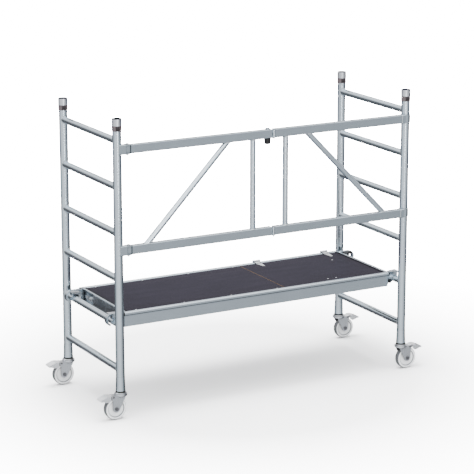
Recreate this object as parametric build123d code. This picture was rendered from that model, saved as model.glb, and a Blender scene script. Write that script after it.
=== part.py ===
from build123d import *
import os

os.makedirs("parts", exist_ok=True)

# Narrow folding mobile scaffold: two ladder frames on castors, a guardrail frame that
# folds at its middle, and one work platform with a hatch.  Millimetres, +Z up, floor at
# z = 0, +X along the platform, -Y the guardrail side.

# ---- driving dimensions -------------------------------------------------------------
POST_SPAN_X = 1800.0            # between upright axes along the platform
POST_SPAN_Y = 683.0             # between upright axes across the frame
POST_R, POST_WALL = 24.0, 2.0
POST_FOOT_Z, POST_TOP_Z = 158.0, 1643.0
SOCKET_R, SOCKET_DEPTH = 22.5, 160.0    # reamed top of each upright, for a spigot
RUNG_R, RUNG_WALL = 19.0, 2.0
RUNG_FIRST_Z, RUNG_PITCH, RUNG_COUNT = 275.0, 250.0, 6
PLATFORM_RUNG = 1               # the platform hooks over the second rung from below

COLLAR_TOP, COLLAR_SPLIT, COLLAR_BOTTOM = POST_TOP_Z, 1607.0, 1579.0
COLLAR_R, BAND_R = 26.5, 26.2
SLEEVE_TOP, SLEEVE_R_TOP, SLEEVE_R_BOTTOM = 236.0, 24.5, 26.6
FOOT_RING_Z, FOOT_RING_R = 150.0, 27.2
PLUG_DEPTH = 100.0              # of the castor stem's plug inside the upright

WHEEL_R, WHEEL_W, TRAIL = 62.5, 36.0, 35.0
KINGPIN_R, AXLE_R = 10.0, 6.0
CROWN_R = 36.0                  # of the fork's round top
RUNNING = 0.06                  # radial running clearance of every turning joint
LEG_IN, LEG_T = 20.0, 3.5       # fork legs: inner face from the middle, thickness
PEDAL_PIVOT = (52.0, 131.0)     # along the trail, height
PEDAL_PIN_R = 3.5

RAIL_H, RAIL_D, RAIL_WALL = 48.0, 32.0, 2.0
RAIL_Z = {"upper": 1480.0, "lower": 935.0}
RAIL_FRONT = 30.5               # front face of the guardrail ahead of the upright axes
STRUT_R, STRUT_WALL = 16.0, 2.0
LEFT_PIN_X = -848.0
CENTRE_PIN_X = 26.0
CENTRE_PIN_FRONT = 34.5         # centre hinge axis ahead of the upright axes
HINGE_BARREL_R = 6.5
HALF_GAP = 8.0                  # from the centre hinge axis to each half's rail end
UPRIGHT_X = {"left": -95.0, "right": 110.0}
DIAGONAL_X = {"left": (-255.0, -735.0), "right": (255.0, 745.0)}

PLAT_HALF_X, PLAT_HALF_Y = 842.0, 290.0
PLAT_TOP_Z, PLAT_BOTTOM_Z = 572.0, 488.0
BEAD_W, BEAD_H, WEB_T = 24.0, 22.0, 6.0
DECK_TOP, DECK_T = 567.0, 10.0
DECK_LEFT_X, DECK_RIGHT_X = -812.0, 822.0
JOINT_X, JOINT_GAP = 168.0, 4.0
HOOK_Y, HOOK_W = 262.0, 24.0
HOOK_CLEAR = 0.3
CAP_T = 8.0                     # of the end caps on the side rails' beads
STRAP_X = (290.0, 753.0)
HINGE_Y, HINGE_Z = 284.0, 579.0
RIVET_X0, RIVET_PITCH, RIVET_COUNT = -760.0, 293.0, 4

# ---- worked out ---------------------------------------------------------------------
AXLE_REACH = LEG_IN + LEG_T + 7.5
FRONT_REACH = POST_SPAN_Y / 2 + CENTRE_PIN_FRONT + HINGE_BARREL_R
REAR_REACH = POST_SPAN_Y / 2 + CROWN_R
MID_Y = (FRONT_REACH - REAR_REACH) / 2        # puts the origin at the middle of the box
POST_X = POST_SPAN_X / 2
FRONT_Y = MID_Y - POST_SPAN_Y / 2
REAR_Y = MID_Y + POST_SPAN_Y / 2
CORNERS = {
    "front_left": (-POST_X, FRONT_Y),
    "rear_left": (-POST_X, REAR_Y),
    "front_right": (POST_X, FRONT_Y),
    "rear_right": (POST_X, REAR_Y),
}
RAIL_Y = FRONT_Y - RAIL_FRONT + RAIL_D / 2    # middle of the guardrail's depth
RAIL_FACE_Y = FRONT_Y - RAIL_FRONT
CENTRE_PIN_Y = FRONT_Y - CENTRE_PIN_FRONT
PLAT_RUNG_Z = RUNG_FIRST_Z + PLATFORM_RUNG * RUNG_PITCH


# ---- helpers ------------------------------------------------------------------------
def save(name, *shapes):
    """Writes the solids of the given shapes as one sub-part."""
    solids = [solid for shape in shapes for solid in shape.solids()]
    export_step(Compound(solids), f"parts/{name}.step")


def rod_z(x, y, low, high, radius):
    """Upright cylinder between two heights."""
    return Pos(x, y, low) * Cylinder(radius, high - low, align=(Align.CENTER, Align.CENTER, Align.MIN))


def rod_y(x, z, low, high, radius):
    """Cylinder along Y between two places."""
    return Pos(x, (low + high) / 2, z) * Rot(90, 0, 0) * Cylinder(radius, high - low)


def rod_x(y, z, low, high, radius):
    """Cylinder along X between two places."""
    return Pos((low + high) / 2, y, z) * Rot(0, 90, 0) * Cylinder(radius, high - low)


def tube_z(x, y, low, high, outer, inner):
    return rod_z(x, y, low, high, outer) - rod_z(x, y, low - 1, high + 1, inner)


def block(x0, x1, y0, y1, z0, z1):
    """Box between two corners, in any order."""
    size = (abs(x1 - x0), abs(y1 - y0), abs(z1 - z0))
    return Pos((x0 + x1) / 2, (y0 + y1) / 2, (z0 + z1) / 2) * Box(*size)


def slanted_rod(start, end, radius):
    """Cylinder between two points."""
    start, end = Vector(*start), Vector(*end)
    axis = end - start
    place = Plane(origin=start, z_dir=axis)
    return place * Cylinder(radius, axis.length, align=(Align.CENTER, Align.CENTER, Align.MIN))


def plate_xz(points, y0, y1):
    """Flat plate in the XZ plane from its outline, between two Y places."""
    face = Plane.XZ * make_face(Polyline(*points, close=True))
    return Pos(0, max(y0, y1), 0) * extrude(face, abs(y1 - y0))


# ---- end frames ---------------------------------------------------------------------
def post(x, y):
    """Upright with a flared foot and a reamed socket at its top."""
    height = SLEEVE_TOP - POST_FOOT_Z
    flare = Cone(SLEEVE_R_BOTTOM, SLEEVE_R_TOP, height, align=(Align.CENTER, Align.CENTER, Align.MIN))
    body = rod_z(x, y, POST_FOOT_Z, POST_TOP_Z, POST_R) + Pos(x, y, POST_FOOT_Z) * flare
    body -= rod_z(x, y, POST_FOOT_Z - 1, POST_TOP_Z, POST_R - POST_WALL)
    return body - rod_z(x, y, POST_TOP_Z - SOCKET_DEPTH, POST_TOP_Z + 1, SOCKET_R)


def posts():
    for name, (x, y) in CORNERS.items():
        save(f"post_{name}", post(x, y))


def rung(x, z):
    """Tube across one frame, saddle-cut to the two uprights."""
    tube = rod_y(x, z, FRONT_Y, REAR_Y, RUNG_R) - rod_y(x, z, FRONT_Y, REAR_Y, RUNG_R - RUNG_WALL)
    for y in (FRONT_Y, REAR_Y):
        tube -= rod_z(x, y, z - 2 * RUNG_R, z + 2 * RUNG_R, POST_R)
    return tube


def rungs():
    heights = [RUNG_FIRST_Z + i * RUNG_PITCH for i in range(RUNG_COUNT)]
    save("rungs_left", *[rung(-POST_X, z) for z in heights])
    save("rungs_right", *[rung(POST_X, z) for z in heights])


def foot_plug(x, y):
    """Plug pressed into the upright for the castor stem, with a flange that shows as a ring."""
    flange = rod_z(x, y, FOOT_RING_Z, POST_FOOT_Z, FOOT_RING_R)
    body = rod_z(x, y, POST_FOOT_Z, POST_FOOT_Z + PLUG_DEPTH, POST_R - POST_WALL)
    return flange + body - rod_z(x, y, FOOT_RING_Z - 1, POST_FOOT_Z + PLUG_DEPTH + 1, KINGPIN_R)


def post_fittings():
    places = list(CORNERS.values())
    save("socket_collars", *[tube_z(x, y, COLLAR_SPLIT, COLLAR_TOP, COLLAR_R, POST_R) for x, y in places])
    save("collar_bands", *[tube_z(x, y, COLLAR_BOTTOM, COLLAR_SPLIT, BAND_R, POST_R) for x, y in places])
    save("foot_plugs", *[foot_plug(x, y) for x, y in places])


# ---- castors ------------------------------------------------------------------------
CROWN_TOP, CROWN_FLOOR = 141.7, 130.0
RACE_R, KING_HEAD_R = 30.0, 13.0
PEDAL_TIP, PEDAL_HALF_W = 131.0, 27.0


def kingpin(x, y):
    """Stem with the upper race plate above the fork's crown and a head below it."""
    stem = rod_z(x, y, CROWN_FLOOR - 5, POST_FOOT_Z + 92, KINGPIN_R)
    race = rod_z(x, y, CROWN_TOP + 0.3, FOOT_RING_Z, RACE_R)
    head = rod_z(x, y, CROWN_FLOOR - 5, CROWN_FLOOR - 0.3, KING_HEAD_R)
    return stem + race + head


def fork():
    """Pressed fork at the origin, trailing towards +X: crown, shoulders and two legs."""
    crown = rod_z(0, 0, CROWN_FLOOR + 3, CROWN_TOP, CROWN_R)
    crown += Pos(0, 0, CROWN_FLOOR - 2) * Cone(
        CROWN_R - 5, CROWN_R, 5, align=(Align.CENTER, Align.CENTER, Align.MIN)
    )
    shoulders = block(-18, 46, -LEG_IN - LEG_T, LEG_IN + LEG_T, CROWN_FLOOR, CROWN_FLOOR + 5)
    body = crown + shoulders
    outline = [(-20, 135), (62, 135), (62, 122), (56, 108), (53.5, 62.5), (TRAIL - 16, 53.5), (-16, 118)]
    for side in (-1, 1):
        inner, outer = side * LEG_IN, side * (LEG_IN + LEG_T)
        low, high = sorted((inner, outer))
        body += plate_xz(outline, inner, outer) + rod_y(TRAIL, WHEEL_R, low, high, 18.5)
    body -= rod_z(0, 0, CROWN_FLOOR - 3, CROWN_FLOOR, KING_HEAD_R + 1)
    body -= rod_z(0, 0, CROWN_FLOOR - 1, CROWN_TOP + 1, KINGPIN_R + RUNNING)
    body -= rod_y(TRAIL, WHEEL_R, -30, 30, AXLE_R)
    return body - rod_y(*PEDAL_PIVOT, -30, 30, PEDAL_PIN_R)


def wheel():
    """Moulded wheel, turned about the Y axis through its own centre at the trail."""
    half = WHEEL_W / 2
    section = [
        (AXLE_R + RUNNING, -half - 1), (16, -half - 1), (18, -13), (44, -12), (47, -half + 2), (52, -half),
        (58, -half), (61.5, -half + 5), (WHEEL_R, -6), (WHEEL_R, 6), (61.5, half - 5), (58, half),
        (52, half), (47, half - 2), (44, 12), (18, 13), (16, half + 1), (AXLE_R + RUNNING, half + 1),
    ]
    face = make_face(Polyline(*section, close=True))
    turned = revolve(face, Axis.Y, 360)
    return Pos(TRAIL, 0, WHEEL_R) * turned


def fork_bolts():
    """Axle bolt with hexagon head and nut, and the pedal's pivot pin."""
    face = LEG_IN + LEG_T
    axle = rod_y(TRAIL, WHEEL_R, -AXLE_REACH, AXLE_REACH, AXLE_R)
    for side in (-1, 1):
        hexagon = extrude(RegularPolygon(10.5, 6), 6)
        hexagon = Pos(TRAIL, side * face + (0 if side < 0 else 6), WHEEL_R) * Rot(90, 0, 0) * hexagon
        axle += hexagon
    pin = rod_y(*PEDAL_PIVOT, -face, face, PEDAL_PIN_R)
    for side in (-1, 1):
        low, high = sorted((side * face, side * (face + 2)))
        pin += rod_y(*PEDAL_PIVOT, low, high, PEDAL_PIN_R + 2)
    return axle, pin


def pedal():
    """Brake pedal: barrel and neck on the pin, broad foot plate with skirts, and the tread's shoe."""
    x, z = PEDAL_PIVOT
    neck = plate_xz(
        [(x - 3, z + 3), (x + 8, z + 8), (74, z + 8), (74, z + 3), (x + 8, z + 3), (x + 4, z - 4)], -19, 19
    )
    foot = plate_xz(
        [
            (68, z + 8), (90, z + 8.5), (108, z + 2), (124, z - 4), (PEDAL_TIP, z - 11),
            (PEDAL_TIP - 2, z - 14), (123, z - 8.5), (107, z - 3), (89, z + 3.5), (68, z + 3),
        ],
        -PEDAL_HALF_W,
        PEDAL_HALF_W,
    )
    skirt = [
        (68, z + 4), (90, z + 5), (108, z - 2), (124, z - 7), (PEDAL_TIP - 2, z - 14),
        (112, z - 16), (98, z - 22), (84, z - 24), (68, z - 14),
    ]
    body = rod_y(x, z, -19.5, 19.5, 5.5) + neck + foot
    for side in (-1, 1):
        body += plate_xz(skirt, side * (PEDAL_HALF_W - 3), side * PEDAL_HALF_W)
    body += block(x + 8, x + 20, -14, 14, z - 11, z + 5)
    body -= Pos(TRAIL, 0, WHEEL_R) * Rot(90, 0, 0) * Cylinder(WHEEL_R + 0.6, 46)
    return body - rod_y(x, z, -30, 30, PEDAL_PIN_R + RUNNING)


def castors():
    save("castor_kingpins", *[kingpin(x, y) for x, y in CORNERS.values()])
    pieces = {"fork": [fork()], "wheel": [wheel()], "bolts": list(fork_bolts()), "brake_pedal": [pedal()]}
    for name, (x, y) in CORNERS.items():
        place = Pos(x, y, 0) * Rot(0, 0, 180 if x < 0 else 0)
        for piece, shapes in pieces.items():
            save(f"castor_{name}_{piece}", *[place * shape for shape in shapes])


# ---- guardrail frame ----------------------------------------------------------------
EAR_T, EAR_END_X = 6.0, LEFT_PIN_X + 12
STUB_END_X = LEFT_PIN_X - 14
PIN_R = 5.0
LEFT_RAIL_X = (LEFT_PIN_X + 16, CENTRE_PIN_X - HALF_GAP)
BRACKET_X = POST_X - 38
RIGHT_RAIL_X = (CENTRE_PIN_X + HALF_GAP, BRACKET_X)
BRACKET_H = 48.0
SLEEVE_T, SLEEVE_H = 4.0, 42.0
LEAF_T = 5.0
LOCK_X = -4.0
LOCK_R, KNOB_H = 4.0, 31.0
KNOB_R_TOP, KNOB_R_BOTTOM = 19.0, 16.5
BUSH_R, BUSH_H = 12.0, 7.0      # guide bush welded on the rail, round the lock's bolt
CENTRE_PIN_R = 3.0


def rail(x0, x1, z):
    """Rectangular tube along X."""
    inner_d, inner_h = RAIL_D / 2 - RAIL_WALL, RAIL_H / 2 - RAIL_WALL
    outer = block(x0, x1, RAIL_Y - RAIL_D / 2, RAIL_Y + RAIL_D / 2, z - RAIL_H / 2, z + RAIL_H / 2)
    outer = fillet(outer.edges().filter_by(Axis.X), 3)
    return outer - block(x0 - 1, x1 + 1, RAIL_Y - inner_d, RAIL_Y + inner_d, z - inner_h, z + inner_h)


def lock_hole(low, high):
    return rod_z(LOCK_X, RAIL_Y, low, high, LOCK_R + RUNNING)


def rails():
    for level, z in RAIL_Z.items():
        left = rail(LEFT_RAIL_X[0], LEFT_RAIL_X[1] - LEAF_T, z)
        if level == "upper":
            left += rod_z(LOCK_X, RAIL_Y, z + RAIL_H / 2 - RAIL_WALL, z + RAIL_H / 2 + BUSH_H, BUSH_R)
            left -= lock_hole(z - RAIL_H, z + RAIL_H)
        save(f"guard_left_{level}_rail", left)
        save(f"guard_right_{level}_rail", rail(RIGHT_RAIL_X[0] + LEAF_T, RIGHT_RAIL_X[1], z))


def struts():
    """Round uprights and diagonals between the two rails of each half."""
    top, bottom = RAIL_Z["upper"] - RAIL_H / 2, RAIL_Z["lower"] + RAIL_H / 2
    gap = block(-POST_X, POST_X, RAIL_Y - RAIL_D, RAIL_Y + RAIL_D, bottom, top)
    for half in ("left", "right"):
        x = UPRIGHT_X[half]
        save(f"guard_{half}_upright", tube_z(x, RAIL_Y, bottom, top, STRUT_R, STRUT_R - STRUT_WALL))
        high_x, low_x = DIAGONAL_X[half]
        reach = (low_x - high_x) / (top - bottom) * 60
        start, end = (high_x - reach, RAIL_Y, top + 60), (low_x + reach, RAIL_Y, bottom - 60)
        tube = slanted_rod(start, end, STRUT_R) - slanted_rod(start, end, STRUT_R - STRUT_WALL)
        save(f"guard_{half}_diagonal", tube & gap)


def stub(z):
    """Short arm welded to the front left upright, with an ear above and below the hinge pin."""
    face, back = RAIL_FACE_Y, RAIL_FACE_Y + RAIL_D
    height = RAIL_H / 2 + 2
    arm = block(-POST_X - 2, STUB_END_X, face, back, z - height, z + height)
    arm = fillet(arm.edges().filter_by(Axis.X), 3)
    arm -= rod_z(-POST_X, FRONT_Y, z - RAIL_H, z + RAIL_H, POST_R)
    for low, high in ((z + height - EAR_T, z + height), (z - height, z - height + EAR_T)):
        arm += block(STUB_END_X, EAR_END_X, face, back, low, high)
    return arm - rod_z(LEFT_PIN_X, RAIL_Y, z - RAIL_H, z + RAIL_H, PIN_R)


def stub_pin(z):
    height = RAIL_H / 2 + 2
    pin = rod_z(LEFT_PIN_X, RAIL_Y, z - height - 9, z + height + 3, PIN_R)
    head = rod_z(LEFT_PIN_X, RAIL_Y, z + height, z + height + 5, PIN_R + 3)
    nut = rod_z(LEFT_PIN_X, RAIL_Y, z - height - 5, z - height, PIN_R + 3)
    return pin + head + nut


def tongue(z):
    """Open-slotted end of the left half: it lets go of the stub's pin as the frame folds."""
    height = RAIL_H / 2 + 2 - EAR_T - 0.5
    slot = PIN_R + 1.7
    half = slot + 2.3
    body = block(LEFT_PIN_X - 10, LEFT_RAIL_X[0], RAIL_Y - half, RAIL_Y + half, z - height, z + height)
    body -= rod_z(LEFT_PIN_X, RAIL_Y, z - RAIL_H, z + RAIL_H, slot)
    return body - block(LEFT_PIN_X - 20, LEFT_PIN_X, RAIL_Y - slot, RAIL_Y + slot, z - RAIL_H, z + RAIL_H)


def centre_leaf(z, side):
    """End plate of one half with its knuckles: outer pair and riveted pin on the left."""
    near, far = CENTRE_PIN_X + side * HALF_GAP, CENTRE_PIN_X + side * (HALF_GAP + LEAF_T)
    plate = block(near, far, RAIL_FACE_Y, RAIL_FACE_Y + RAIL_D, z - RAIL_H / 2, z + RAIL_H / 2)
    levels = [(-8.2, 8.2)] if side > 0 else [(8.5, 24.0), (-24.0, -8.5)]
    for low, high in levels:
        web = block(CENTRE_PIN_X, near, RAIL_FACE_Y - 4, RAIL_FACE_Y + 3, z + low, z + high)
        barrel = rod_z(CENTRE_PIN_X, CENTRE_PIN_Y, z + low, z + high, HINGE_BARREL_R)
        plate += web + barrel
    if side > 0:
        return plate - rod_z(CENTRE_PIN_X, CENTRE_PIN_Y, z - RAIL_H, z + RAIL_H, CENTRE_PIN_R + RUNNING)
    return plate + rod_z(CENTRE_PIN_X, CENTRE_PIN_Y, z - 31, z + 27, CENTRE_PIN_R)


def bracket(z):
    """Sleeve that turns on the front right upright, with the block that the rail is welded to."""
    height, sleeve = BRACKET_H / 2, SLEEVE_H / 2
    body = block(BRACKET_X, POST_X - 14, RAIL_FACE_Y, RAIL_FACE_Y + RAIL_D, z - height, z + height)
    body = fillet(body.edges().filter_by(Axis.X), 3)
    body += rod_z(POST_X, FRONT_Y, z - sleeve, z + sleeve, POST_R + SLEEVE_T)
    return body - rod_z(POST_X, FRONT_Y, z - RAIL_H, z + RAIL_H, POST_R + RUNNING)


def lock():
    """Spring bolt through the upper rail beside the centre hinge, its knob and its spring."""
    z = RAIL_Z["upper"]
    bottom, top = z - RAIL_H / 2, z + RAIL_H / 2
    collar_z = z + 6
    bolt = rod_z(LOCK_X, RAIL_Y, bottom - 21, top + BUSH_H + 2, LOCK_R)
    save("guard_lock_bolt", bolt + rod_z(LOCK_X, RAIL_Y, collar_z, collar_z + 4, 8))
    knob = Pos(LOCK_X, RAIL_Y, bottom - KNOB_H - 1) * Cone(
        KNOB_R_BOTTOM, KNOB_R_TOP, KNOB_H, align=(Align.CENTER, Align.CENTER, Align.MIN)
    )
    save("guard_lock_knob", knob - rod_z(LOCK_X, RAIL_Y, bottom - 21, top, LOCK_R))
    seat = bottom + RAIL_WALL
    length = collar_z - seat - 2.2
    path = Helix(pitch=length / 5, height=length, radius=6.2)
    wire = sweep(Plane(origin=path @ 0, z_dir=path % 0) * Circle(0.8), path=path)
    save("guard_lock_spring", Pos(LOCK_X, RAIL_Y, seat + 1.1) * wire)


def guardrail():
    rails()
    struts()
    levels = list(RAIL_Z.values())
    save("guard_stubs", *[stub(z) for z in levels])
    save("guard_stub_pins", *[stub_pin(z) for z in levels])
    save("guard_left_tongues", *[tongue(z) for z in levels])
    save("guard_left_centre_leaves", *[centre_leaf(z, -1) for z in levels])
    save("guard_right_centre_leaves", *[centre_leaf(z, 1) for z in levels])
    save("guard_right_brackets", *[bracket(z) for z in levels])
    lock()


# ---- platform -----------------------------------------------------------------------
WEB_OUT = PLAT_HALF_Y - 8
WEB_IN = WEB_OUT - WEB_T
DECK_UNDER = DECK_TOP - DECK_T
LEDGE_T, LEDGE_IN = 4.0, 256.0
BEAM_D, BEAM_T = 12.0, 4.0
CROSS_X = (-600.0, -230.0, 158.0)
CROSS_W, CROSS_H = 36.0, 25.0
CATCH_PIVOT = (876.0, 556.0)
CATCH_PIN_R = 4.0
CATCH_Y = (HOOK_Y - HOOK_W / 2 - 22, HOOK_Y - HOOK_W / 2 - 1)


def side_rail(side):
    """Extruded rail: hollow rounded bead, inset web, deck ledge and bottom flange."""
    bead_y = PLAT_HALF_Y - BEAD_W / 2
    bead_z = PLAT_TOP_Z - BEAD_H / 2
    profile = Pos(bead_y, bead_z) * RectangleRounded(BEAD_W, BEAD_H, 8)
    for low, high, z0, z1 in (
        (WEB_IN, WEB_OUT, PLAT_BOTTOM_Z, bead_z),
        (LEDGE_IN, WEB_IN + 1, DECK_UNDER - LEDGE_T, DECK_UNDER),
        (LEDGE_IN + 2, WEB_OUT, PLAT_BOTTOM_Z, PLAT_BOTTOM_Z + 4),
    ):
        profile += Pos((low + high) / 2, (z0 + z1) / 2) * Rectangle(high - low, z1 - z0)
    profile -= Pos(bead_y, bead_z) * RectangleRounded(BEAD_W - 6, BEAD_H - 6, 5)
    long_rail = extrude(Plane.YZ * profile, PLAT_HALF_X, both=True)
    return Pos(0, MID_Y, 0) * (long_rail if side > 0 else mirror(long_rail, Plane.XZ))


def end_beam(side):
    """Channel across the platform's end, open outwards."""
    back = PLAT_HALF_X - BEAM_D
    y = PLAT_HALF_Y - BEAD_W
    beam = block(back, back + BEAM_T, -y, y, PLAT_BOTTOM_Z, PLAT_TOP_Z)
    for z0, z1 in ((PLAT_BOTTOM_Z, PLAT_BOTTOM_Z + 4), (PLAT_TOP_Z - 4, PLAT_TOP_Z)):
        beam += block(back, PLAT_HALF_X, -y, y, z0, z1)
    beam = Pos(0, MID_Y, 0) * beam
    return beam if side > 0 else mirror(beam, Plane.YZ)


def hook():
    """Hook over the right rung, with a wide claw and the catch's riveted pin; rear right corner."""
    x, z = POST_X, PLAT_RUNG_Z
    y0, y1 = HOOK_Y - HOOK_W / 2, HOOK_Y + HOOK_W / 2
    inner = RUNG_R + HOOK_CLEAR
    claw_x, claw_z, claw_r, claw_t = x + 12, z + 10, 34, 10
    claw = rod_y(claw_x, claw_z, y0, y1, claw_r) - rod_y(claw_x, claw_z, y0, y1, claw_r - claw_t)
    claw -= block(claw_x - claw_r - 1, x + inner + 1, y0, y1, claw_z - claw_r - 1, claw_z)
    body = block(PLAT_HALF_X, PLAT_HALF_X + 8, y0, y1, z - 30, claw_z + claw_r)
    body += block(PLAT_HALF_X + 8, claw_x, y0, y1, z + 2, claw_z + claw_r)
    body += block(x - inner - 8, x - inner, y0, y1, z - 14, z + 2)
    body += claw
    body -= rod_y(x, z, y0, y1, inner) + block(x - inner, x + inner, y0, y1, z - 15, z)
    return body + rod_y(*CATCH_PIVOT, CATCH_Y[0] - 3, y1, CATCH_PIN_R)


def catch():
    """Anti-lift catch: hangs beside the hook with its nose under the rung and a tab on top."""
    x, z = CATCH_PIVOT
    y0, y1 = CATCH_Y
    outline = [
        (x - 5, z), (x - 4, z - 62), (x + 10, z - 62), (x + 16, z - 52), (x + 3, z - 51), (x + 3, z - 6),
        (x + 44, z + 3), (x + 47, z + 12), (x + 2, z + 9), (x - 6, z + 6),
    ]
    body = plate_xz(outline, y0, y1) + rod_y(x, z, y0, y1, 9)
    return body - rod_y(x, z, y0 - 1, y1 + 1, CATCH_PIN_R + RUNNING)


def release_plate():
    """Catch release in the end beam's recess: rounded plate and grip boss, drawn at the rear right."""
    x, z = PLAT_HALF_X - BEAM_D + BEAM_T, PLAT_RUNG_Z + 7
    plate = block(x, x + 4, 152, 214, z - 12, z + 12)
    plate += rod_x(152, z, x, x + 4, 12) + rod_x(214, z, x, x + 4, 12)
    return plate + rod_x(167, z, x, x + 12, 9) + rod_x(205, z, x, x + 7, 5)


def to_corner(shape, side_x, side_y):
    """Mirrors a shape drawn at the rear right into one of the platform's four corners."""
    if side_y < 0:
        shape = mirror(shape, Plane.XZ)
    if side_x < 0:
        shape = mirror(shape, Plane.YZ)
    return Pos(0, MID_Y, 0) * shape


def hatch_strap(x):
    """Tapered strap from its barrel on the rear rail, over the bead and along the hatch."""
    t = 3.0
    tip, knee = HINGE_Y - 94, LEDGE_IN + 2
    taper = make_face(Polyline((x - 7, tip), (x + 7, tip), (x + 17, knee), (x - 17, knee), close=True))
    lower = Pos(0, 0, DECK_TOP) * extrude(taper, t)
    riser = block(x - 17, x + 17, knee - 4, knee, DECK_TOP, PLAT_TOP_Z + 0.6 + t)
    upper = block(x - 17, x + 17, knee - 4, HINGE_Y, PLAT_TOP_Z + 0.6, PLAT_TOP_Z + 0.6 + t)
    barrel = rod_x(HINGE_Y, HINGE_Z, x - 17, x + 17, 5)
    strap = lower + riser + upper + barrel - rod_x(HINGE_Y, HINGE_Z, x - 18, x + 18, 2.5 + RUNNING)
    return Pos(0, MID_Y, 0) * strap


def hinge_bracket(x):
    """Fixed ears each side of a strap's barrel on the rear rail's bead, with the hinge pin."""
    body = rod_x(HINGE_Y, HINGE_Z, x - 25, x + 25, 2.5)
    for side in (-1, 1):
        near, far = x + side * 17.5, x + side * 23.5
        body += block(near, far, HINGE_Y - 5, HINGE_Y + 5, PLAT_TOP_Z - 2.5, HINGE_Z)
        body += rod_x(HINGE_Y, HINGE_Z, min(near, far), max(near, far), 5)
    return Pos(0, MID_Y, 0) * body - side_rail(1)


def dome(x, y, z, radius):
    """Low round fastener head on a flat face."""
    return rod_z(x, y, z, z + 1.2, radius) + rod_z(x, y, z + 1.2, z + 2, radius * 0.65)


def platform():
    rails_made = [side_rail(-1), side_rail(1)]
    save("platform_front_rail", rails_made[0])
    save("platform_rear_rail", rails_made[1])
    beams = [end_beam(side) - rails_made[0] - rails_made[1] for side in (-1, 1)]
    save("platform_end_beams", *beams)
    member_top = DECK_UNDER - LEDGE_T
    low, high = MID_Y - WEB_IN, MID_Y + WEB_IN
    members = [
        block(x - CROSS_W / 2, x + CROSS_W / 2, low, high, member_top - CROSS_H, member_top) for x in CROSS_X
    ]
    save("platform_cross_members", *[member - rails_made[0] - rails_made[1] for member in members])
    deck_y = PLAT_HALF_Y - BEAD_W - 0.5
    low, high = MID_Y - deck_y, MID_Y + deck_y
    fixed_end, hatch_end = JOINT_X - JOINT_GAP / 2, JOINT_X + JOINT_GAP / 2
    save("platform_deck_panel", block(DECK_LEFT_X, fixed_end, low, high, DECK_UNDER, DECK_TOP))
    save("platform_hatch_panel", block(hatch_end, DECK_RIGHT_X, low, high, DECK_UNDER, DECK_TOP))
    corners = [(sx, sy) for sx in (-1, 1) for sy in (-1, 1)]
    save("platform_hooks", *[to_corner(hook(), sx, sy) for sx, sy in corners])
    save("platform_release_plates", to_corner(release_plate(), -1, 1), to_corner(release_plate(), 1, -1))
    names = {(-1, -1): "front_left", (-1, 1): "rear_left", (1, -1): "front_right", (1, 1): "rear_right"}
    for (sx, sy), name in names.items():
        save(f"platform_catch_{name}", to_corner(catch(), sx, sy))
    inside, bead_low = PLAT_HALF_Y - BEAD_W, PLAT_TOP_Z - BEAD_H
    cap = block(PLAT_HALF_X, PLAT_HALF_X + CAP_T, inside, PLAT_HALF_Y, bead_low, PLAT_TOP_Z)
    cap = fillet(cap.edges().filter_by(Axis.X), 7) - hook()
    save("platform_rail_caps", *[to_corner(cap, sx, sy) for sx, sy in corners])


def hatch_fittings():
    save("hatch_straps", *[hatch_strap(x) for x in STRAP_X])
    save("hatch_hinge_brackets", *[hinge_bracket(x) for x in STRAP_X])
    rivet_y = LEDGE_IN + 2
    rivets = [
        dome(RIVET_X0 + i * RIVET_PITCH, MID_Y + side * rivet_y, DECK_TOP, 5)
        for i in range(RIVET_COUNT)
        for side in (-1, 1)
    ]
    save("deck_rivets", *rivets)
    screws = [dome(x, MID_Y + HINGE_Y - 82 + row * 30, DECK_TOP + 3, 4) for x in STRAP_X for row in (0, 1)]
    middle = sum(STRAP_X) / 2 - 21
    screws += [dome(middle + side * 27, MID_Y - 224, DECK_TOP, 5) for side in (-1, 1)]
    screws += [dome(STRAP_X[1] - 40, MID_Y + 121, DECK_TOP, 5)]
    save("hatch_screws", *screws)


posts()
rungs()
post_fittings()
castors()
guardrail()
platform()
hatch_fittings()
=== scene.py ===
import math

import bpy
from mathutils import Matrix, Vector


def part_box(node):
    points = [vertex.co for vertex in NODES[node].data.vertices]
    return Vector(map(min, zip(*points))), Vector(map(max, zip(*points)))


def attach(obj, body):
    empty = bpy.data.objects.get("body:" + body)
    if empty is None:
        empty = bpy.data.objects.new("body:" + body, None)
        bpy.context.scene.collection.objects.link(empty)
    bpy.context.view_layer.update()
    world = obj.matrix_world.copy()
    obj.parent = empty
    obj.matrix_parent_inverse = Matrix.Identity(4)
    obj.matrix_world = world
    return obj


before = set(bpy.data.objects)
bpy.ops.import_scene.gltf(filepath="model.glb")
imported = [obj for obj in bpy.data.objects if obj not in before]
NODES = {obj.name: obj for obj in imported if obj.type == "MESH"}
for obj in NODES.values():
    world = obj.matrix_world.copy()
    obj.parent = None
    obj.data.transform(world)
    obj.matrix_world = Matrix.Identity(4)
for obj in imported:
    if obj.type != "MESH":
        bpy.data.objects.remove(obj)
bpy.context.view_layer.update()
MM = 0.001
CORNERS = ("front_left", "rear_left", "front_right", "rear_right")


# ---- places read from the frame -----------------------------------------------------
def middle(node):
    """Middle of a CAD node's box."""
    low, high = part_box(node)
    return (low + high) / 2


def rim_radii(node):
    """Inner and outer radius of an upright tube at its top edge."""
    centre, top = middle(node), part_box(node)[1].z
    rim = [vert.co for vert in NODES[node].data.vertices if vert.co.z > top - MM]
    reach = [math.hypot(co.x - centre.x, co.y - centre.y) for co in rim]
    return min(reach), max(reach)


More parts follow.
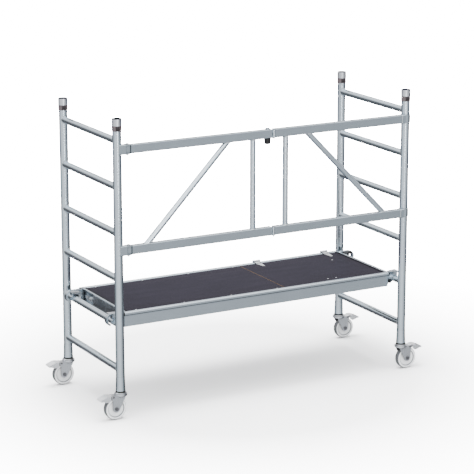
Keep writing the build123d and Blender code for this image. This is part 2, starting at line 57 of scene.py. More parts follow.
POST = {name: middle(f"post_{name}") for name in CORNERS}
SOCKET_R, POST_R = rim_radii("post_front_left")
POST_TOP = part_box("post_front_left")[1].z
RUNG_R = (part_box("rungs_left")[1].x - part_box("rungs_left")[0].x) / 2
RUNG_COUNT = 6
RUNG_LOW, RUNG_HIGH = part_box("rungs_left")[0].z + RUNG_R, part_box("rungs_left")[1].z - RUNG_R
RUNG_Z = [RUNG_LOW + i * (RUNG_HIGH - RUNG_LOW) / (RUNG_COUNT - 1) for i in range(RUNG_COUNT)]
BEAM_LOW, BEAM_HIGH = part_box("platform_end_beams")
PANEL_LOW, PANEL_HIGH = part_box("platform_deck_panel")
HATCH_LOW, HATCH_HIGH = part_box("platform_hatch_panel")
MID_Y = (BEAM_LOW.y + BEAM_HIGH.y) / 2
DECK_TOP = PANEL_HIGH.z
DECK_ENDS = (min(PANEL_LOW.x, HATCH_LOW.x), max(PANEL_HIGH.x, HATCH_HIGH.x))
DECK_HALF_Y = (PANEL_HIGH.y - PANEL_LOW.y) / 2


# ---- materials ----------------------------------------------------------------------
def new_material(name):
    material = bpy.data.materials.new(name)
    material.use_nodes = True
    nodes, links = material.node_tree.nodes, material.node_tree.links
    return material, nodes, links, nodes["Principled BSDF"]


def object_coords(nodes, links, scale):
    """Object coordinates in metres, scaled along each axis."""
    coords = nodes.new("ShaderNodeTexCoord")
    mapping = nodes.new("ShaderNodeMapping")
    mapping.inputs["Scale"].default_value = scale
    links.new(coords.outputs["Object"], mapping.inputs["Vector"])
    return mapping.outputs["Vector"]


def noise(nodes, links, vector, scale, detail=3.0, rough=0.55):
    node = nodes.new("ShaderNodeTexNoise")
    node.inputs["Scale"].default_value = scale
    node.inputs["Detail"].default_value = detail
    node.inputs["Roughness"].default_value = rough
    links.new(vector, node.inputs["Vector"])
    return node.outputs["Fac"]


def ramp(nodes, links, factor, stops):
    """Colour ramp over (place, colour) stops."""
    node = nodes.new("ShaderNodeValToRGB")
    elements = node.color_ramp.elements
    while len(elements) < len(stops):
        elements.new(0.5)
    for element, (place, colour) in zip(elements, stops):
        element.position = place
        element.color = (*colour, 1)
    links.new(factor, node.inputs["Fac"])
    return node.outputs["Color"]


def scaled_value(nodes, links, value, factor, plus=None):
    """value * factor, with another value added to it where one is given."""
    node = nodes.new("ShaderNodeMath")
    node.operation = "MULTIPLY_ADD" if plus else "MULTIPLY"
    node.inputs[1].default_value = factor
    links.new(value, node.inputs[0])
    if plus:
        links.new(plus, node.inputs[2])
    return node.outputs[0]


def between(nodes, links, factor, low, high):
    """Maps a 0..1 factor onto low..high."""
    node = nodes.new("ShaderNodeMapRange")
    node.inputs["To Min"].default_value = low
    node.inputs["To Max"].default_value = high
    links.new(factor, node.inputs["Value"])
    return node.outputs["Result"]


def add_bump(nodes, links, shader, height, distance, strength):
    node = nodes.new("ShaderNodeBump")
    node.inputs["Distance"].default_value = distance
    node.inputs["Strength"].default_value = strength
    links.new(height, node.inputs["Height"])
    links.new(node.outputs["Normal"], shader.inputs["Normal"])


def painted_crevice_shade(nodes, links, colour, reach, dark):
    """Painted shade where surfaces meet: scales a colour down to dark within reach of a neighbour."""
    node = nodes.new("ShaderNodeAmbientOcclusion")
    node.samples = 6
    node.inputs["Distance"].default_value = reach
    shade = between(nodes, links, node.outputs["AO"], dark, 1.0)
    scaled = nodes.new("ShaderNodeVectorMath")
    scaled.operation = "SCALE"
    links.new(colour, scaled.inputs[0])
    links.new(shade, scaled.inputs["Scale"])
    return scaled.outputs[0]


def tint(colour, factor):
    return tuple(min(1.0, c * factor) for c in colour)


DRAWN_STRETCH = 0.02            # how much the drawing lines are stretched along the grain
DRAWN_LINES, HANDLING_PATCHES = 420, 9    # noise scales, per metre
# how dark the painted shade gets where parts meet
CREVICE_SHADE_DARK = 0.25


def brushed_metal(name, colour, rough, grain, contrast=0.06, shade_reach=0.012):
    """Drawn or rolled metal: fine lines along one axis, slow patches of handling, and painted shade
    near neighbouring parts.
    """
    material, nodes, links, shader = new_material(name)
    shader.inputs["Metallic"].default_value = 1.0
    stretch = [1.0, 1.0, 1.0]
    stretch["XYZ".index(grain)] = DRAWN_STRETCH
    lines = noise(nodes, links, object_coords(nodes, links, stretch), DRAWN_LINES, 4.0, 0.6)
    patches = noise(nodes, links, object_coords(nodes, links, (1, 1, 1)), HANDLING_PATCHES, 4.0, 0.55)
    blend = scaled_value(nodes, links, lines, 0.5, scaled_value(nodes, links, patches, 0.5))
    stops = [(0.3, tint(colour, 1 - contrast)), (0.7, tint(colour, 1 + contrast))]
    # painted shade: the metal colour darkens where another part is near
    metal = painted_crevice_shade(nodes, links, ramp(nodes, links, blend, stops), shade_reach, CREVICE_SHADE_DARK)
    links.new(metal, shader.inputs["Base Color"])
    links.new(between(nodes, links, blend, rough - 0.1, rough + 0.1), shader.inputs["Roughness"])
    add_bump(nodes, links, shader, lines, 0.15 * MM, 0.25)
    return material


def moulded(name, colour, rough, speck=260.0, gloss=0.5):
    """Moulded plastic or rubber with a fine erosion grain."""
    material, nodes, links, shader = new_material(name)
    shader.inputs["Specular IOR Level"].default_value = gloss
    vector = object_coords(nodes, links, (1, 1, 1))
    grain = noise(nodes, links, vector, speck, 3.0, 0.6)
    patches = noise(nodes, links, vector, 14, 3.0, 0.5)
    stops = [(0.3, tint(colour, 0.92)), (0.7, tint(colour, 1.08))]
    links.new(ramp(nodes, links, patches, stops), shader.inputs["Base Color"])
    links.new(between(nodes, links, grain, rough - 0.08, rough + 0.08), shader.inputs["Roughness"])
    add_bump(nodes, links, shader, grain, 0.2 * MM, 0.35)
    return material


def wave(nodes, links, vector, axis, scale):
    node = nodes.new("ShaderNodeTexWave")
    node.wave_type = "BANDS"
    node.bands_direction = axis
    node.inputs["Scale"].default_value = scale
    links.new(vector, node.inputs["Vector"])
    return node.outputs["Fac"]


MESH_LINES, PLY_LAYERS = 62.0, 190.0      # wave scales, per metre


def phenolic_plywood(name, film, ply_light, ply_dark):
    """Film-faced plywood: pressed wire-mesh pattern on the faces, layers on the sawn edges."""
    material, nodes, links, shader = new_material(name)
    vector = object_coords(nodes, links, (1, 1, 1))
    bands = [wave(nodes, links, vector, axis, MESH_LINES) for axis in "XY"]
    grid = nodes.new("ShaderNodeMath")
    grid.operation = "MAXIMUM"
    links.new(bands[0], grid.inputs[0])
    links.new(bands[1], grid.inputs[1])
    sheet = noise(nodes, links, object_coords(nodes, links, (0.7, 5, 1)), 5, 5.0, 0.6)
    spots = noise(nodes, links, vector, 46, 4.0, 0.65)
    cloud = nodes.new("ShaderNodeMix")
    cloud.inputs["Factor"].default_value = 0.45
    links.new(sheet, cloud.inputs["A"])
    links.new(spots, cloud.inputs["B"])
    film_colour = ramp(nodes, links, cloud.outputs["Result"], [
        (0.30, tint(film, 0.80)), (0.52, film), (0.74, tint(film, 1.32)),
    ])
    layers = wave(nodes, links, vector, "Z", PLY_LAYERS)
    edge_colour = ramp(nodes, links, layers, [(0.2, ply_dark), (0.8, ply_light)])
    coords = nodes.new("ShaderNodeTexCoord")
    split = nodes.new("ShaderNodeSeparateXYZ")
    links.new(coords.outputs["Normal"], split.inputs["Vector"])
    facing = nodes.new("ShaderNodeMath")
    facing.operation = "ABSOLUTE"
    links.new(split.outputs["Z"], facing.inputs[0])
    choose = nodes.new("ShaderNodeMix")
    choose.data_type = "RGBA"
    links.new(facing.outputs[0], choose.inputs["Factor"])
    links.new(edge_colour, choose.inputs["A"])
    links.new(film_colour, choose.inputs["B"])
    links.new(choose.outputs["Result"], shader.inputs["Base Color"])
    links.new(between(nodes, links, spots, 0.42, 0.62), shader.inputs["Roughness"])
    shader.inputs["Specular IOR Level"].default_value = 0.02
    add_bump(nodes, links, shader, grid.outputs[0], 0.4 * MM, 0.5)
    return material


ALUMINIUM = (0.53, 0.60, 0.655)
# The rail and platform aluminium is the tube aluminium made darker: painted shade that tones down
# their flat faces.
RAIL_ALUMINIUM_SHADED = (0.41, 0.465, 0.51)
PLATFORM_ALUMINIUM_SHADED = (0.44, 0.495, 0.54)
tube_metal = {
    "X": brushed_metal("aluminium_tube_X", RAIL_ALUMINIUM_SHADED, 0.24, "X"),
    "Y": brushed_metal("aluminium_tube_Y", ALUMINIUM, 0.22, "Y"),
    "Z": brushed_metal("aluminium_tube_Z", ALUMINIUM, 0.22, "Z"),
}
plat_metal = {
    axis: brushed_metal(f"aluminium_platform_{axis}", PLATFORM_ALUMINIUM_SHADED, 0.22, axis) for axis in "XY"
}
collar_metal = brushed_metal("aluminium_collar", (0.58, 0.60, 0.63), 0.32, "Z")
weld_metal = brushed_metal("aluminium_weld", (0.66, 0.69, 0.71), 0.42, "Z", 0.10)
zinc = brushed_metal("zinc_plate", (0.62, 0.64, 0.66), 0.30, "Z", 0.08)
# the forks' painted shade reaches further from neighbouring parts
fork_zinc = brushed_metal("zinc_fork", (0.60, 0.62, 0.65), 0.26, "Z", 0.08, 0.022)
pedal_zinc = brushed_metal("zinc_pedal", (0.92, 0.93, 0.95), 0.26, "X", 0.06)
steel = brushed_metal("bright_steel", (0.52, 0.53, 0.55), 0.30, "Z", 0.10)
bolt_steel = brushed_metal("dark_steel", (0.17, 0.17, 0.18), 0.40, "Y", 0.10)
rivet_metal = brushed_metal("rivet", (0.82, 0.83, 0.84), 0.30, "X", 0.05)
rib_metal = brushed_metal("beam_ribs", (0.42, 0.44, 0.47), 0.45, "Z", 0.10)
# near-black sheet colour: painted shade of the end beams' recesses
painted_recess_shade = brushed_metal("beam_recess_painted_shade", (0.07, 0.07, 0.08), 0.60, "Z", 0.10)
band_plastic = moulded("band_plastic", (0.058, 0.047, 0.050), 0.5, gloss=0.25)
patch_plastic = moulded("patch_plastic", (0.014, 0.011, 0.013), 0.5, gloss=0.2)
black_plastic = moulded("black_plastic", (0.007, 0.007, 0.008), 0.48, gloss=0.25)
rubber = moulded("black_rubber", (0.006, 0.006, 0.008), 0.7, 180.0, gloss=0.06)


def moulded_wheel(name, centre, radius):
    """Pale moulded wheel: painted shade rings near the hub and at the step of each face, a dark
    running face that is partly the tread's own dark grey and partly painted shade, and painted shade
    where the fork comes near.
    """
    material, nodes, links, shader = new_material(name)
    coords = nodes.new("ShaderNodeTexCoord")
    flat = nodes.new("ShaderNodeVectorMath")
    flat.operation = "SUBTRACT"
    flat.inputs[1].default_value = centre
    links.new(coords.outputs["Object"], flat.inputs[0])
    side = nodes.new("ShaderNodeVectorMath")
    side.operation = "MULTIPLY"
    side.inputs[1].default_value = (1 / radius, 0, 1 / radius)
    links.new(flat.outputs[0], side.inputs[0])
    reach = nodes.new("ShaderNodeVectorMath")
    reach.operation = "LENGTH"
    links.new(side.outputs[0], reach.inputs[0])
    grain = noise(nodes, links, object_coords(nodes, links, (1, 1, 1)), 320.0, 3.0, 0.6)
    rings = ramp(nodes, links, reach.outputs["Value"], WHEEL_RINGS)
    # painted shade: the wheel goes fully dark where the fork and other parts are near
    links.new(painted_crevice_shade(nodes, links, rings, 0.018, 0.0), shader.inputs["Base Color"])
    links.new(between(nodes, links, grain, 0.30, 0.46), shader.inputs["Roughness"])
    add_bump(nodes, links, shader, grain, 0.2 * MM, 0.3)
    return material


# Wheel colours from the axle outwards, by share of the wheel's radius. The dark rings near the hub
# and at the face step are painted shade; the dark running face is partly the tread's own dark grey
# and partly painted shade.
PALE, GROOVE_SHADE, TREAD_DARK_AND_SHADE = (0.62, 0.63, 0.64), (0.16, 0.17, 0.18), (0.065, 0.07, 0.075)
WHEEL_RINGS = [
    (0.26, PALE), (0.285, GROOVE_SHADE), (0.31, PALE), (0.69, PALE), (0.715, GROOVE_SHADE),
    (0.755, GROOVE_SHADE), (0.785, PALE), (0.93, PALE), (0.95, TREAD_DARK_AND_SHADE), (0.995, TREAD_DARK_AND_SHADE),
]
FILM, PLY_LIGHT, PLY_DARK = (0.0105, 0.0093, 0.0135), (0.30, 0.20, 0.12), (0.11, 0.07, 0.045)
deck_film = phenolic_plywood("phenolic_plywood", FILM, PLY_LIGHT, PLY_DARK)


# ---- finishes of the CAD nodes ------------------------------------------------------
def finish_node(node, material, bevel=0.0):
    """Gives a CAD node its material and, where its edges are sharp, a small bevel."""
    piece = NODES[node]
    piece.data.materials.clear()
    piece.data.materials.append(material)
    if bevel:
        modifier = piece.modifiers.new("edge", "BEVEL")
        modifier.width = bevel
        modifier.segments = 2
        modifier.limit_method = "ANGLE"
        modifier.angle_limit = math.radians(40)
        modifier.harden_normals = True


for name in CORNERS:
    finish_node(f"post_{name}", tube_metal["Z"])
    finish_node(f"castor_{name}_fork", fork_zinc, 0.6 * MM)
    wheel_low, wheel_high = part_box(f"castor_{name}_wheel")
    wheel_radius = (wheel_high.z - wheel_low.z) / 2
    wheel_look = moulded_wheel(f"polyamide_{name}", (wheel_low + wheel_high) / 2, wheel_radius)
    finish_node(f"castor_{name}_wheel", wheel_look)
    finish_node(f"castor_{name}_bolts", bolt_steel, 0.5 * MM)
    finish_node(f"castor_{name}_brake_pedal", pedal_zinc, 0.5 * MM)
    finish_node(f"platform_catch_{name}", zinc if "left" in name else black_plastic, 0.8 * MM)
for node in ("rungs_left", "rungs_right"):
    finish_node(node, tube_metal["Y"])
for half in ("left", "right"):
    for level in ("upper", "lower"):
        finish_node(f"guard_{half}_{level}_rail", tube_metal["X"])
    finish_node(f"guard_{half}_upright", tube_metal["Z"])
    finish_node(f"guard_{half}_diagonal", tube_metal["Z"])
    finish_node(f"guard_{half}_centre_leaves", tube_metal["Z"], 0.5 * MM)
finish_node("platform_release_plates", zinc, 0.4 * MM)
finish_node("foot_plugs", black_plastic, 0.6 * MM)
finish_node("socket_collars", collar_metal, 0.5 * MM)
finish_node("collar_bands", band_plastic)
finish_node("castor_kingpins", zinc)
finish_node("guard_stubs", tube_metal["X"], 0.6 * MM)
finish_node("guard_stub_pins", steel, 0.5 * MM)
finish_node("guard_left_tongues", tube_metal["X"], 0.5 * MM)
finish_node("guard_right_brackets", tube_metal["X"], 0.6 * MM)
finish_node("guard_lock_bolt", steel)
finish_node("guard_lock_spring", steel)
finish_node("guard_lock_knob", black_plastic, 0.8 * MM)
for side in ("front", "rear"):
    finish_node(f"platform_{side}_rail", plat_metal["X"])
finish_node("platform_end_beams", plat_metal["Y"], 0.5 * MM)
finish_node("platform_cross_members", plat_metal["Y"], 0.8 * MM)
finish_node("platform_hooks", plat_metal["X"], 0.8 * MM)
finish_node("platform_rail_caps", black_plastic, 0.5 * MM)
finish_node("platform_deck_panel", deck_film, 0.4 * MM)
finish_node("platform_hatch_panel", deck_film, 0.4 * MM)
finish_node("hatch_straps", rivet_metal, 0.5 * MM)
finish_node("hatch_hinge_brackets", plat_metal["X"], 0.4 * MM)
finish_node("hatch_screws", rivet_metal)
finish_node("deck_rivets", rivet_metal)


# ---- mesh helpers -------------------------------------------------------------------
def add_mesh(name, verts, faces, material, slot, body, smooth=True):
    mesh = bpy.data.meshes.new(name)
    mesh.from_pydata([tuple(v) for v in verts], [], faces)
    mesh.materials.append(material)
    mesh.polygons.foreach_set("use_smooth", [smooth] * len(mesh.polygons))
    mesh.update()
    piece = bpy.data.objects.new(name, mesh)
    bpy.context.scene.collection.objects.link(piece)
    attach(piece, body)
    return piece


BEAD_SIDES, BEAD_RIPPLE = 8, 0.16


def bead(points, radius, closed, ripples):
    """Verts and faces of a weld bead along points, its radius rippling along the way."""
    count, sides = len(points), BEAD_SIDES
    verts, faces = [], []
    for i, point in enumerate(points):
        before = points[i - 1] if closed or i else point
        after = points[(i + 1) % count] if closed or i < count - 1 else point
        along = (after - before).normalized()
        across = along.orthogonal() if not verts else (last - along * last.dot(along))
        across.normalize()
        last = across
        other = along.cross(across)
        size = radius * (1 + BEAD_RIPPLE * math.sin(2 * math.pi * ripples * i / count))
        for k in range(sides):
            turn = 2 * math.pi * k / sides
            verts.append(point + (across * math.cos(turn) + other * math.sin(turn)) * size)
    for i in range(count if closed else count - 1):
        for k in range(sides):
            a, b = i * sides + k, i * sides + (k + 1) % sides
            c, d = ((i + 1) % count) * sides + k, ((i + 1) % count) * sides + (k + 1) % sides
            faces.append((a, b, d, c))
    if not closed:
        faces.append(tuple(reversed(range(sides))))
        faces.append(tuple((count - 1) * sides + k for k in range(sides)))
    return verts, faces


def join(parts):
    """Several (verts, faces) lists as one."""
    verts, faces = [], []
    for part_verts, part_faces in parts:
        base = len(verts)
        verts += part_verts
        faces += [tuple(index + base for index in face) for face in part_faces]
    return verts, faces


def turned(profile, centre, steps, start=0.0, sweep=2 * math.pi):
    """A profile of (radius, height) turned about Z at centre, in full or in part."""
    full = sweep > 2 * math.pi - 1e-6
    rings = steps if full else steps + 1
    verts, faces = [], []
    for i in range(rings):
        angle = start + sweep * i / steps
        for radius, height in profile:
            x, y = centre.x + radius * math.cos(angle), centre.y + radius * math.sin(angle)
            verts.append(Vector((x, y, height)))
    size = len(profile)
    for i in range(steps):
        for k in range(size):
            a, b = i * size + k, i * size + (k + 1) % size
            c, d = ((i + 1) % rings) * size + k, ((i + 1) % rings) * size + (k + 1) % size
            faces.append((a, c, d, b))
    if not full:
        faces.append(tuple(range(size)))
        faces.append(tuple(reversed([steps * size + k for k in range(size)])))
    return verts, faces


def box_part(low, high):
    """Verts and faces of a box between two corners."""
    (x0, y0, z0), (x1, y1, z1) = low, high
    verts = [Vector((x, y, z)) for x in (x0, x1) for y in (y0, y1) for z in (z0, z1)]
    faces = [(0, 1, 3, 2), (4, 6, 7, 5), (0, 4, 5, 1), (2, 3, 7, 6), (0, 2, 6, 4), (1, 5, 7, 3)]
    return verts, faces


# ---- weld beads ---------------------------------------------------------------------
RUNG_BEAD_R, STRUT_BEAD_R, BRACKET_BEAD_R, STUB_BEAD_R = 1.4 * MM, 1.8 * MM, 1.6 * MM, 2.2 * MM
RING_STEPS, LINE_STEPS = 120, 40
RING_RIPPLES, LINE_RIPPLES = 26, 10
BEAD_INSET = 3 * MM             # how far a straight bead stays from the rail's corners


def rung_bead(post, z, inward):
    """Saddle curve where a rung meets an upright."""
    points = []
    for i in range(RING_STEPS):
        angle = 2 * math.pi * i / RING_STEPS
        x = RUNG_R * math.cos(angle)
        y = inward * math.sqrt(POST_R ** 2 - x ** 2)
        points.append(Vector((post.x + x, post.y + y, z + RUNG_R * math.sin(angle))))
    return bead(points, RUNG_BEAD_R, True, RING_RIPPLES)


def rung_beads():
    parts = []
    for name in CORNERS:
        inward = 1 if name.startswith("front") else -1
        parts += [rung_bead(POST[name], z, inward) for z in RUNG_Z]
    add_mesh("rung_weld_beads", *join(parts), weld_metal, "aluminium_tube", "frames")


rung_beads()


def ring_bead(centre, radius, stretch=1.0):
    """Level ring round a tube that stands on a flat face; stretch lengthens it along X."""
    points = []
    for i in range(RING_STEPS):
        angle = 2 * math.pi * i / RING_STEPS
        points.append(centre + radius * Vector((stretch * math.cos(angle), math.sin(angle), 0)))
    return bead(points, STRUT_BEAD_R, True, RING_RIPPLES)


def straight_bead(start, run, radius):
    """Open bead from a point along a run."""
    start, run = Vector(start), Vector(run)
    points = [start + run * (i / LINE_STEPS) for i in range(LINE_STEPS + 1)]
    return bead(points, radius, False, LINE_RIPPLES)


def strut_beads(half):
    """Beads where a half's upright and diagonal meet its two rails."""
    parts = []
    upright_low, upright_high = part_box(f"guard_{half}_upright")
    radius = (upright_high.y - upright_low.y) / 2
    x, y = (upright_low.x + upright_high.x) / 2, (upright_low.y + upright_high.y) / 2
    for z in (upright_low.z, upright_high.z):
        parts.append(ring_bead(Vector((x, y, z)), radius))
    low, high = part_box(f"guard_{half}_diagonal")
    height = high.z - low.z
    # The slanted tube's cut ends are ellipses as wide along X as this solves for.
    span = high.x - low.x
    half_width = radius
    for _ in range(6):
        run = span - 2 * half_width
        half_width = radius * math.hypot(run, height) / height
    ends = (low.x + half_width, high.x - half_width)
    top_x, bottom_x = ends if half == "right" else (ends[1], ends[0])
    for end_x, z in ((top_x, high.z), (bottom_x, low.z)):
        parts.append(ring_bead(Vector((end_x, y, z)), radius, half_width / radius))
    add_mesh(f"guard_{half}_weld_beads", *join(parts), weld_metal, "aluminium_tube", f"guard_{half}")


strut_beads("left")
strut_beads("right")


def stub_and_bracket_beads():
    """Upright beads between the stubs and their post, and between rails and brackets."""
    stub_parts, bracket_parts = [], []
    stub_x = POST["front_left"].x - 2 * MM
    stub_y = POST["front_left"].y - POST_R * 0.985
    for level in ("upper", "lower"):
        rail_low, rail_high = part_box(f"guard_right_{level}_rail")
        low_y, low_z = rail_low.y + BEAD_INSET, rail_low.z + BEAD_INSET
        across = (0, rail_high.y - rail_low.y - 2 * BEAD_INSET, 0)
        upward = (0, 0, rail_high.z - rail_low.z - 2 * BEAD_INSET)
        for y in (rail_low.y, rail_high.y):
            bracket_parts.append(straight_bead((rail_high.x, y, low_z), upward, BRACKET_BEAD_R))
        for z in (rail_low.z, rail_high.z):
            bracket_parts.append(straight_bead((rail_high.x, low_y, z), across, BRACKET_BEAD_R))
        foot = (stub_x, stub_y, low_z)
        stub_parts.append(straight_bead(foot, upward, STUB_BEAD_R))
    add_mesh("bracket_weld_beads", *join(bracket_parts), weld_metal, "aluminium_tube", "guard_right")
    add_mesh("stub_weld_beads", *join(stub_parts), weld_metal, "aluminium_tube", "frames")


stub_and_bracket_beads()


# ---- uprights: socket liners and collar patches -------------------------------------
def socket_liners():
    """Dark plastic lining of each upright's open top, with a lip over the rim."""
    wall, depth, lip = 0.25 * MM, 64 * MM, 1.6 * MM
    inner, back, top = SOCKET_R - wall, SOCKET_R - 0.05 * MM, POST_TOP + 0.05 * MM
    rim = POST["front_left"].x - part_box("socket_collars")[0].x - 0.6 * MM
    profile = [
        (inner, top - depth), (back, top - depth), (back, top), (rim, top),
        (rim, top + lip - 0.6 * MM), (rim - 0.6 * MM, top + lip), (inner + 0.8 * MM, top + lip),
        (inner, top + lip - 0.8 * MM),
    ]
    parts = [turned(profile, POST[name], 64) for name in CORNERS]
    add_mesh("socket_liners", *join(parts), rubber, "black_plastic", "frames")


PATCH_START, PATCH_SWEEP = math.radians(-125), math.radians(48)


def collar_patches():
    """Blank dark patch on each collar band, towards the guardrail side."""
    low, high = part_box("collar_bands")
    radius = POST["front_left"].x - low.x
    z0, z1 = low.z + 3 * MM, high.z - 1 * MM
    inner, outer = radius - 0.1 * MM, radius + 0.25 * MM
    profile = [(inner, z0), (outer, z0 + 0.3 * MM), (outer, z1 - 0.3 * MM), (inner, z1)]
    parts = [turned(profile, POST[name], 20, PATCH_START, PATCH_SWEEP) for name in CORNERS]
    add_mesh("collar_patches", *join(parts), patch_plastic, "band_plastic", "frames")


socket_liners()
collar_patches()


# ---- platform: seal strips with painted gap shade, and ribbed recesses with painted shade ---
def seal_and_gap_shade_strips():
    """Soft black strip that fills the gap between each deck end and its end beam: partly a seal,
    partly painted shade of that gap.
    """
    back = BEAM_HIGH.x - 12 * MM
    bottom, crest = DECK_TOP - 9 * MM, DECK_TOP + 3.5 * MM
    y0, y1 = MID_Y - DECK_HALF_Y, MID_Y + DECK_HALF_Y
    parts = []
    for side, end in zip((-1, 1), DECK_ENDS):
        x0, x1 = sorted((end + side * 0.2 * MM, side * (back - 0.2 * MM)))
        section = [
            (x0, bottom), (x1, bottom), (x1, DECK_TOP + 1.5 * MM),
            (x1 - 1.5 * MM, crest), (x0 + 1.5 * MM, crest), (x0, DECK_TOP + 1.0 * MM),
        ]
        verts = [Vector((x, y, z)) for y in (y0, y1) for x, z in section]
        size = len(section)
        faces = [(k, (k + 1) % size, size + (k + 1) % size, size + k) for k in range(size)]
        faces += [tuple(reversed(range(size))), tuple(range(size, 2 * size))]
        parts.append((verts, faces))
    add_mesh("deck_end_seal_shade_strips", *join(parts), rubber, "black_plastic", "platform", False)


PLATE_NEAR, PLATE_FAR = 134 * MM, 232 * MM    # the release plates' reach from the middle


def beam_ribs():
    """Upright ribs in each end beam's recess, on thin dark sheets that are painted shade of the
    recess.
    """
    face = BEAM_HIGH.x - 8 * MM
    z0, z1 = BEAM_LOW.z + 5 * MM, BEAM_HIGH.z - 5 * MM
    half = DECK_HALF_Y - 42 * MM
    pitch, width, depth = 14 * MM, 5.5 * MM, 5 * MM
    count = int(2 * half / pitch)
    recess_shade_sheets, ribs = [], []
    for side in (-1, 1):
        keep_out = sorted(MID_Y - side * y for y in (PLATE_NEAR, PLATE_FAR))
        spans = [(MID_Y - half, keep_out[0]), (keep_out[1], MID_Y + half)]
        for y0, y1 in spans:
            x0, x1 = sorted((side * (face + 0.1 * MM), side * (face + 0.8 * MM)))
            recess_shade_sheets.append(box_part((x0, y0, z0), (x1, y1, z1)))
        x0, x1 = sorted((side * (face + 0.7 * MM), side * (face + depth)))
        for i in range(count):
            y = MID_Y - half + (i + 0.5) * pitch
            if keep_out[0] - width < y < keep_out[1] + width:
                continue
            ribs.append(box_part((x0, y - width / 2, z0 + MM), (x1, y + width / 2, z1 - MM)))
    add_mesh("end_beam_shade_sheets", *join(recess_shade_sheets), painted_recess_shade, "aluminium_platform", "platform", False)
    add_mesh("end_beam_ribs", *join(ribs), rib_metal, "aluminium_platform", "platform", False)


seal_and_gap_shade_strips()
beam_ribs()


# ---- floor, light, camera -----------------------------------------------------------
FLOOR_SIZE, FLOOR_STEPS, FLOOR_Z = 60.0, 48, -0.6 * MM
FLOOR_GREY = 0.8
# Floor brightness as the camera sees it: near radius, far radius, gain at each.
FLOOR_GAIN = (1.0, 6.0, 1.08, 9.0)
# Sky strength as the object sees it, and as the camera sees it.
SKY, SKY_SEEN = 1.0, 12.0
# Sky colours from away from the bright side to towards it, and from below to above.
BRIGHT_SIDE = (-0.58, -0.71, 0.30)
SIDE_STOPS = [
    (0.00, (0.15, 0.15, 0.16)), (0.30, (0.16, 0.16, 0.17)), (0.46, (0.25, 0.26, 0.28)),
    (0.60, (0.85, 0.88, 0.92)), (0.78, (1.10, 1.13, 1.17)), (0.90, (1.60, 1.62, 1.65)),
    (1.00, (1.30, 1.30, 1.32)),
]
ABOVE_STOPS = [
    (0.50, (0.0, 0.0, 0.0)), (0.56, (0.50, 0.51, 0.53)), (0.64, (1.15, 1.15, 1.17)),
    (0.85, (2.2, 2.2, 2.2)), (1.00, (3.4, 3.4, 3.4)),
]


def floor():
    verts = [(0.0, 0.0, FLOOR_Z)]
    for i in range(FLOOR_STEPS):
        angle = 2 * math.pi * i / FLOOR_STEPS
        verts.append((FLOOR_SIZE * math.cos(angle), FLOOR_SIZE * math.sin(angle), FLOOR_Z))
    faces = [(0, 1 + i, 1 + (i + 1) % FLOOR_STEPS) for i in range(FLOOR_STEPS)]
    mesh = bpy.data.meshes.new("floor")
    mesh.from_pydata(verts, [], faces)
    piece = bpy.data.objects.new("floor", mesh)
    bpy.context.scene.collection.objects.link(piece)
    material, nodes, links, shader = new_material("floor")
    nodes.remove(shader)
    shades = [nodes.new("ShaderNodeBsdfDiffuse") for _ in range(2)]
    shades[0].inputs["Color"].default_value = (FLOOR_GREY, FLOOR_GREY, FLOOR_GREY, 1)
    reach = nodes.new("ShaderNodeVectorMath")
    reach.operation = "LENGTH"
    links.new(object_coords(nodes, links, (1, 1, 1)), reach.inputs[0])
    gain = nodes.new("ShaderNodeMapRange")
    for socket, value in zip(("From Min", "From Max", "To Min", "To Max"), FLOOR_GAIN):
        gain.inputs[socket].default_value = value
    links.new(reach.outputs["Value"], gain.inputs["Value"])
    links.new(gain.outputs["Result"], shades[1].inputs["Color"])
    seen = nodes.new("ShaderNodeLightPath")
    mix = nodes.new("ShaderNodeMixShader")
    links.new(seen.outputs["Is Camera Ray"], mix.inputs[0])
    links.new(shades[0].outputs[0], mix.inputs[1])
    links.new(shades[1].outputs[0], mix.inputs[2])
    links.new(mix.outputs[0], nodes["Material Output"].inputs["Surface"])
    mesh.materials.append(material)
    piece.visible_glossy = False


def area_light(name, place, target, size, power, glossy=True):
    data = bpy.data.lights.new(name, "AREA")
    data.shape = "RECTANGLE"
    data.size, data.size_y = size
    data.energy = power
    light = bpy.data.objects.new(name, data)
    light.location = place
    light.rotation_euler = (Vector(target) - Vector(place)).to_track_quat("-Z", "Y").to_euler()
    light.visible_camera = False
    light.visible_glossy = glossy
    bpy.context.scene.collection.objects.link(light)


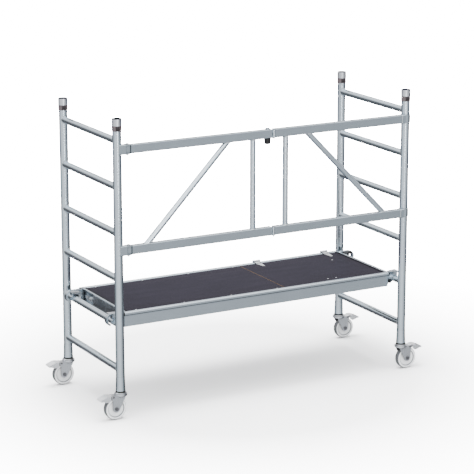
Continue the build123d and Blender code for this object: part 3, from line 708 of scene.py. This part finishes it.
def studio():
    world = bpy.data.worlds.new("studio")
    bpy.context.scene.world = world
    world.use_nodes = True
    nodes, links = world.node_tree.nodes, world.node_tree.links
    lit = nodes["Background"]
    lit.inputs["Strength"].default_value = SKY
    coords = nodes.new("ShaderNodeTexCoord")
    total = nodes.new("ShaderNodeVectorMath")
    total.operation = "ADD"
    for place, (axis, stops) in enumerate(((BRIGHT_SIDE, SIDE_STOPS), ((0, 0, 1), ABOVE_STOPS))):
        towards = nodes.new("ShaderNodeVectorMath")
        towards.operation = "DOT_PRODUCT"
        towards.inputs[1].default_value = Vector(axis).normalized()
        links.new(coords.outputs["Generated"], towards.inputs[0])
        share = nodes.new("ShaderNodeMapRange")
        share.inputs["From Min"].default_value = -1.0
        links.new(towards.outputs["Value"], share.inputs["Value"])
        links.new(ramp(nodes, links, share.outputs["Result"], stops), total.inputs[place])
    links.new(total.outputs[0], lit.inputs["Color"])
    shown = nodes.new("ShaderNodeBackground")
    shown.inputs["Strength"].default_value = SKY_SEEN
    shown.inputs["Color"].default_value = (1.0, 1.0, 1.0, 1)
    seen = nodes.new("ShaderNodeLightPath")
    mix = nodes.new("ShaderNodeMixShader")
    links.new(seen.outputs["Is Camera Ray"], mix.inputs[0])
    links.new(lit.outputs[0], mix.inputs[1])
    links.new(shown.outputs[0], mix.inputs[2])
    links.new(mix.outputs[0], nodes["World Output"].inputs["Surface"])
    area_light("key", (-0.3, 0.2, 6.5), (0, 0, 0.5), (3.5, 3.5), 1100, False)
    area_light("front", (-1.6, -6.9, 1.5), (0, 0, 0.9), (0.9, 3.6), 110)


CAMERA_PLACE = (-5.295, -9.597, 3.612)
CAMERA_DOWN, CAMERA_TURN = 14.28, -28.9       # degrees below level, and about Z from +Y
SENSOR_MM, LENS_MM = 36.0, 151.9


def camera():
    data = bpy.data.cameras.new("camera")
    data.sensor_width = SENSOR_MM
    data.lens = LENS_MM
    data.clip_end = 200.0
    piece = bpy.data.objects.new("camera", data)
    piece.location = CAMERA_PLACE
    piece.rotation_euler = (math.radians(90 - CAMERA_DOWN), 0, math.radians(CAMERA_TURN))
    bpy.context.scene.collection.objects.link(piece)
    bpy.context.scene.camera = piece


floor()
studio()
camera()
